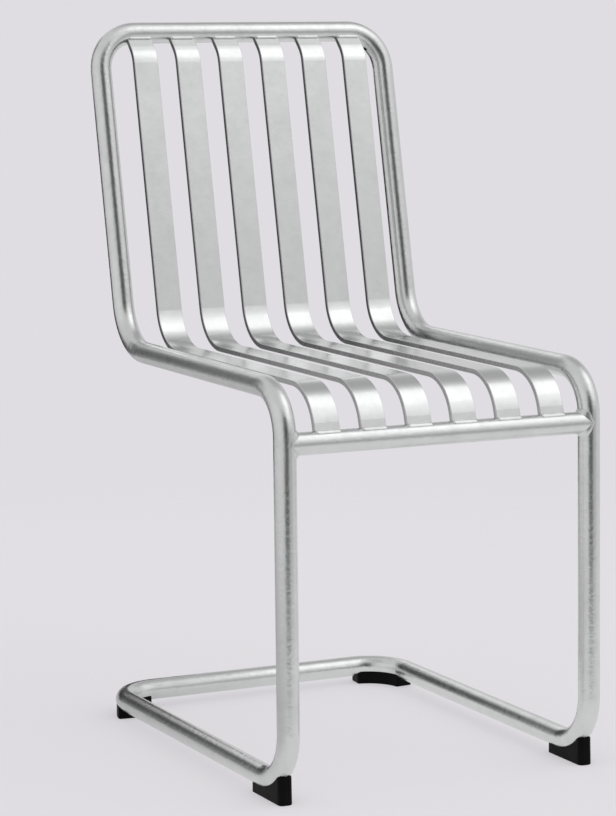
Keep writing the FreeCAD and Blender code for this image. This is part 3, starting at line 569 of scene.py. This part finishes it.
def add_crossbar_weld(name, side, welds, material):
    """The dressed fillet round one end of the crossbar: a ring wrapped round the saddle of bar and leg."""
    axis = middle_of("front_crossbar")
    leg_x = side * (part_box("right_frame_tube")[1][0] - TUBE_RADIUS)
    steps = WELD_FACE_STEPS + WELD_ROOT_STEPS
    bpy.ops.object.select_all(action="DESELECT")
    bpy.ops.mesh.primitive_torus_add(
        major_segments=WELD_TURNS, minor_segments=steps,
        major_radius=TUBE_RADIUS, minor_radius=welds.fillet / 2,
        location=(leg_x, axis.y, axis.z), rotation=(0, math.pi / 2, 0))
    ring = start_mesh(f"{name}_crossbar_bead")
    angles = [2 * math.pi * turn / WELD_TURNS for turn in range(WELD_TURNS)]
    sections = [weld_section(axis, leg_x, side, welds, angle) for angle in angles]
    for number, point in enumerate(ring.data.vertices):
        point.co = weld_point(sections[number // steps], welds, number % steps)
    bpy.ops.object.mode_set(mode="EDIT")
    bpy.ops.mesh.select_all(action="SELECT")
    bpy.ops.mesh.normals_make_consistent(inside=False)
    bpy.ops.object.mode_set(mode="OBJECT")
    finish_weld(ring, welds, material, f"{name}_crossbar_weld")


class CHAIR_OT_frame(bpy.types.Operator):
    """Galvanise the tube frame"""

    bl_idname = "chair.frame"
    bl_label = "Tube frame"

    def execute(self, context):
        finish = context.scene.garden_chair.finish
        dress(zinc("tube_zinc", finish, finish.tube_roughness, finish.tube_relief), *TUBES)
        return {"FINISHED"}


class CHAIR_OT_slats(bpy.types.Operator):
    """Galvanise the slats"""

    bl_idname = "chair.slats"
    bl_label = "Slats"

    def execute(self, context):
        finish = context.scene.garden_chair.finish
        # The slats' cut edges get painted shade and a painted reflection, as well as more roughness.
        material = zinc("slat_zinc", finish, finish.slat_roughness, finish.slat_relief,
                        finish.slat_cloudiness, dull_and_shaded_edges=True)
        dress(material, *SLATS)
        return {"FINISHED"}


class CHAIR_OT_welds(bpy.types.Operator):
    """Model the weld beads at the crossbar's ends and across the slats' ends"""

    bl_idname = "chair.welds"
    bl_label = "Welds"

    def execute(self, context):
        settings = context.scene.garden_chair
        finish = settings.finish
        material = zinc("weld_zinc", finish, finish.weld_roughness, finish.weld_relief)
        for name, side in SIDES.items():
            add_crossbar_weld(name, side, settings.welds, material)
        rail = Vector(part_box("right_frame_tube")[1]) - Vector((TUBE_RADIUS, TUBE_RADIUS, TUBE_RADIUS))
        add_beads("slat_top_beads", settings.welds, material, rail, RAIL_BEAD)
        add_beads("slat_front_beads", settings.welds, material, middle_of("front_crossbar"), CROSSBAR_BEAD)
        return {"FINISHED"}


class CHAIR_OT_feet(bpy.types.Operator):
    """Finish the plastic feet and their screws"""

    bl_idname = "chair.feet"
    bl_label = "Feet and screws"

    def execute(self, context):
        finish = context.scene.garden_chair.finish
        dress(plastic("foot_plastic", finish), *FEET)
        dress(plated("screw_plating", finish), "foot_screws")
        return {"FINISHED"}


def gap_in_studio(tree, azimuth, elevation, middle, inner, outer):
    """How far a direction lies inside a dark gap between the studio's pale walls."""
    factors = []
    for value, centre, near, far in zip((azimuth, elevation), middle, inner, outer):
        off = math_node(tree, "ABSOLUTE", math_node(tree, "SUBTRACT", value, math.radians(centre)))
        factors.append(ranged(tree, off, math.radians(near), math.radians(far), 1.0, 0.0, smooth=True))
    return math_node(tree, "MULTIPLY", *factors)


def patch_in_studio(tree, direction, middle, inner, outer):
    """How near a direction lies to the middle of a round patch of the walls."""
    azimuth, elevation = (math.radians(angle) for angle in middle)
    level = math.cos(elevation)
    towards = (math.sin(azimuth) * level, -math.cos(azimuth) * level, math.sin(elevation))
    nearness = add_node(tree, "ShaderNodeVectorMath", {0: direction, 1: towards}, operation="DOT_PRODUCT")
    off = math_node(tree, "ARCCOSINE", nearness.outputs["Value"])
    return ranged(tree, off, math.radians(inner), math.radians(outer), 1.0, 0.0, smooth=True)


def light_studio(stage):
    """The pale surround, with brighter patches, and darker where the walls leave gaps."""
    world = bpy.data.worlds.new("studio_surround")
    world.use_nodes = True
    tree = world.node_tree
    tree.nodes.clear()
    direction = add_node(tree, "ShaderNodeTexCoord").outputs["Generated"]
    parts = add_node(tree, "ShaderNodeSeparateXYZ", {0: direction}).outputs
    azimuth = math_node(tree, "ARCTAN2", parts[0], math_node(tree, "MULTIPLY", parts[1], -1.0))
    elevation = math_node(tree, "ARCSINE", parts[2])
    dark = [(depth, gap_in_studio(tree, azimuth, elevation, *place)) for depth, *place in DARK_GAPS]
    dark += [(depth, patch_in_studio(tree, direction, *place)) for depth, *place in DARK_PATCHES]
    bright = [(height, patch_in_studio(tree, direction, *place)) for height, *place in BRIGHT_PATCHES]
    level = 1.0
    for depth, patch in dark:
        level = math_node(tree, "MULTIPLY", level, math_node(tree, "MULTIPLY_ADD", patch, -depth, 1.0))
    for height, patch in bright:
        level = math_node(tree, "MULTIPLY_ADD", patch, height, level)
    walls = add_node(tree, "ShaderNodeBackground", {"Color": opaque(stage.surround), "Strength": level})
    behind = add_node(tree, "ShaderNodeBackground", {"Color": opaque(stage.background), "Strength": 1.0})
    seen = add_node(tree, "ShaderNodeLightPath").outputs["Is Camera Ray"]
    shown = add_node(tree, "ShaderNodeMixShader", {0: seen, 1: walls.outputs[0], 2: behind.outputs[0]})
    output = add_node(tree, "ShaderNodeOutputWorld")
    tree.links.new(shown.outputs[0], output.inputs["Surface"])
    bpy.context.scene.world = world


def floor_finish(stage):
    """A pale matt floor with a faint shadow, which fades into the background round its edge; as the zinc
    mirrors it, the floor carries a painted shadow to the rear left.
    """
    material, tree, shader, place = new_material("studio_floor")
    shader.inputs["Base Color"].default_value = opaque(stage.floor_colour)
    shader.inputs["Roughness"].default_value = 0.9
    shader.inputs["Specular IOR Level"].default_value = 0.0
    path = add_node(tree, "ShaderNodeLightPath").outputs
    # Painted shadow: the floor as the zinc mirrors it turns from mirrored_floor to the darker shaded_floor
    # towards the rear left.
    inputs = {0: place, 1: stage.shade_towards}
    aside = add_node(tree, "ShaderNodeVectorMath", inputs, operation="DOT_PRODUCT").outputs["Value"]
    shade = ranged(tree, aside, 0.0, stage.shade_reach, 0.0, 1.0, smooth=True)
    mirrored = mixed(tree, shade, opaque(stage.mirrored_floor), opaque(stage.shaded_floor))
    colour = mixed(tree, path["Is Glossy Ray"], opaque(stage.background), mirrored)
    strength = ranged(tree, path["Is Glossy Ray"], 0.0, 1.0, stage.paper, stage.mirrored_paper)
    paper = add_node(tree, "ShaderNodeEmission", {"Color": colour, "Strength": strength})
    share = math_node(tree, "MULTIPLY", path["Is Camera Ray"], 1.0 - stage.shadow)
    share = math_node(tree, "MULTIPLY_ADD", path["Is Glossy Ray"], stage.mirrored_share, share)
    lit = add_node(tree, "ShaderNodeMixShader", {0: share, 1: shader.outputs[0], 2: paper.outputs[0]})
    distance = add_node(tree, "ShaderNodeVectorMath", {0: place}, operation="LENGTH").outputs["Value"]
    fade_start = stage.floor_fade * stage.floor_radius
    gone = ranged(tree, distance, fade_start, stage.floor_radius, 0.0, 1.0, smooth=True)
    clear = add_node(tree, "ShaderNodeBsdfTransparent")
    faded = add_node(tree, "ShaderNodeMixShader", {0: gone, 1: lit.outputs[0], 2: clear.outputs[0]})
    output = next(node for node in tree.nodes if node.type == "OUTPUT_MATERIAL")
    tree.links.new(faded.outputs[0], output.inputs["Surface"])
    return material


class CHAIR_OT_stage(bpy.types.Operator):
    """Set up the floor, the light and the camera"""

    bl_idname = "chair.stage"
    bl_label = "Studio"

    def execute(self, context):
        stage = context.scene.garden_chair.stage
        context.scene.view_settings.view_transform = "Standard"
        light_studio(stage)
        bpy.ops.object.select_all(action="DESELECT")
        bpy.ops.mesh.primitive_circle_add(vertices=96, radius=stage.floor_radius, fill_type="NGON")
        floor = context.object
        floor.name = "studio_floor"
        floor.data.materials.append(floor_finish(stage))
        self.add_screen(context, stage)
        key_shape = (stage.key_size, stage.key_size)
        fill_shape = (stage.fill_size, stage.fill_height)
        self.add_soft_box(context, "key_box", stage.key_place, key_shape, stage.key_power)
        self.add_soft_box(context, "fill_box", stage.fill_place, fill_shape, stage.fill_power)
        self.add_camera(context, stage)
        return {"FINISHED"}

    def add_screen(self, context, stage):
        """A low dark screen behind the chair, which only the zinc mirrors."""
        low, high = stage.screen_height
        middle = (*stage.screen_place, (low + high) / 2)
        bpy.ops.mesh.primitive_plane_add(size=1.0, location=middle, rotation=(math.pi / 2, 0, 0))
        screen = context.object
        screen.name = "studio_screen"
        screen.scale = (stage.screen_width, high - low, 1.0)
        bpy.ops.object.transform_apply(location=True, rotation=True, scale=True)
        material, tree, shader, place = new_material("screen_cloth")
        weave = noise(tree, place, scale=60.0, detail=3.0)
        tone = ranged(tree, weave, 0.3, 0.7, 0.04, 0.06)
        tree.links.new(tone, shader.inputs["Base Color"])
        shader.inputs["Roughness"].default_value = 1.0
        screen.data.materials.append(material)
        screen.visible_camera = False
        screen.visible_diffuse = False
        screen.visible_shadow = False

    def add_soft_box(self, context, name, place, shape, power):
        """A soft box that points at the middle of the chair."""
        bpy.ops.object.light_add(type="AREA", location=place)
        lamp = context.object
        lamp.name = name
        lamp.data.shape = "RECTANGLE"
        lamp.data.size, lamp.data.size_y = shape
        lamp.data.energy = power
        lamp.rotation_euler = (LAMP_TARGET - Vector(place)).to_track_quat("-Z", "Y").to_euler()
        lamp.visible_camera = False

    def add_camera(self, context, stage):
        """The camera, turned round the chair, tilted down and rolled."""
        data = bpy.data.cameras.new("photo_camera")
        data.sensor_width = 36.0
        data.lens = stage.lens
        camera = bpy.data.objects.new("photo_camera", data)
        context.scene.collection.objects.link(camera)
        turn = Matrix.Rotation(stage.camera_azimuth, 3, "Z")
        tilt = Matrix.Rotation(math.pi / 2 - stage.camera_elevation, 3, "X")
        roll = Matrix.Rotation(stage.camera_roll, 3, "Z")
        camera.matrix_world = Matrix.Translation(stage.camera_place) @ (turn @ tilt @ roll).to_4x4()
        context.scene.camera = camera


class CHAIR_PT_sidebar(bpy.types.Panel):
    """The chair's pieces and settings"""

    bl_label = "Garden Chair"
    bl_idname = "CHAIR_PT_sidebar"
    bl_space_type = "VIEW_3D"
    bl_region_type = "UI"
    bl_category = "Garden Chair"

    def draw(self, context):
        layout = self.layout
        for operator in OPERATORS:
            layout.operator(operator.bl_idname)
        settings = context.scene.garden_chair
        for group in (settings.welds, settings.finish, settings.stage):
            box = layout.box()
            for name in group.__annotations__:
                box.prop(group, name)


OPERATORS = (CHAIR_OT_frame, CHAIR_OT_slats, CHAIR_OT_welds, CHAIR_OT_feet, CHAIR_OT_stage)
CLASSES = (ChairWelds, ChairFinish, ChairStage, GardenChair, *OPERATORS, CHAIR_PT_sidebar)


def register():
    for cls in CLASSES:
        bpy.utils.register_class(cls)
    bpy.types.Scene.garden_chair = PointerProperty(type=GardenChair)


def unregister():
    del bpy.types.Scene.garden_chair
    for cls in reversed(CLASSES):
        bpy.utils.unregister_class(cls)


def main():
    register()
    bpy.ops.chair.frame()
    bpy.ops.chair.slats()
    bpy.ops.chair.welds()
    bpy.ops.chair.feet()
    bpy.ops.chair.stage()


if __name__ == "__main__":
    main()
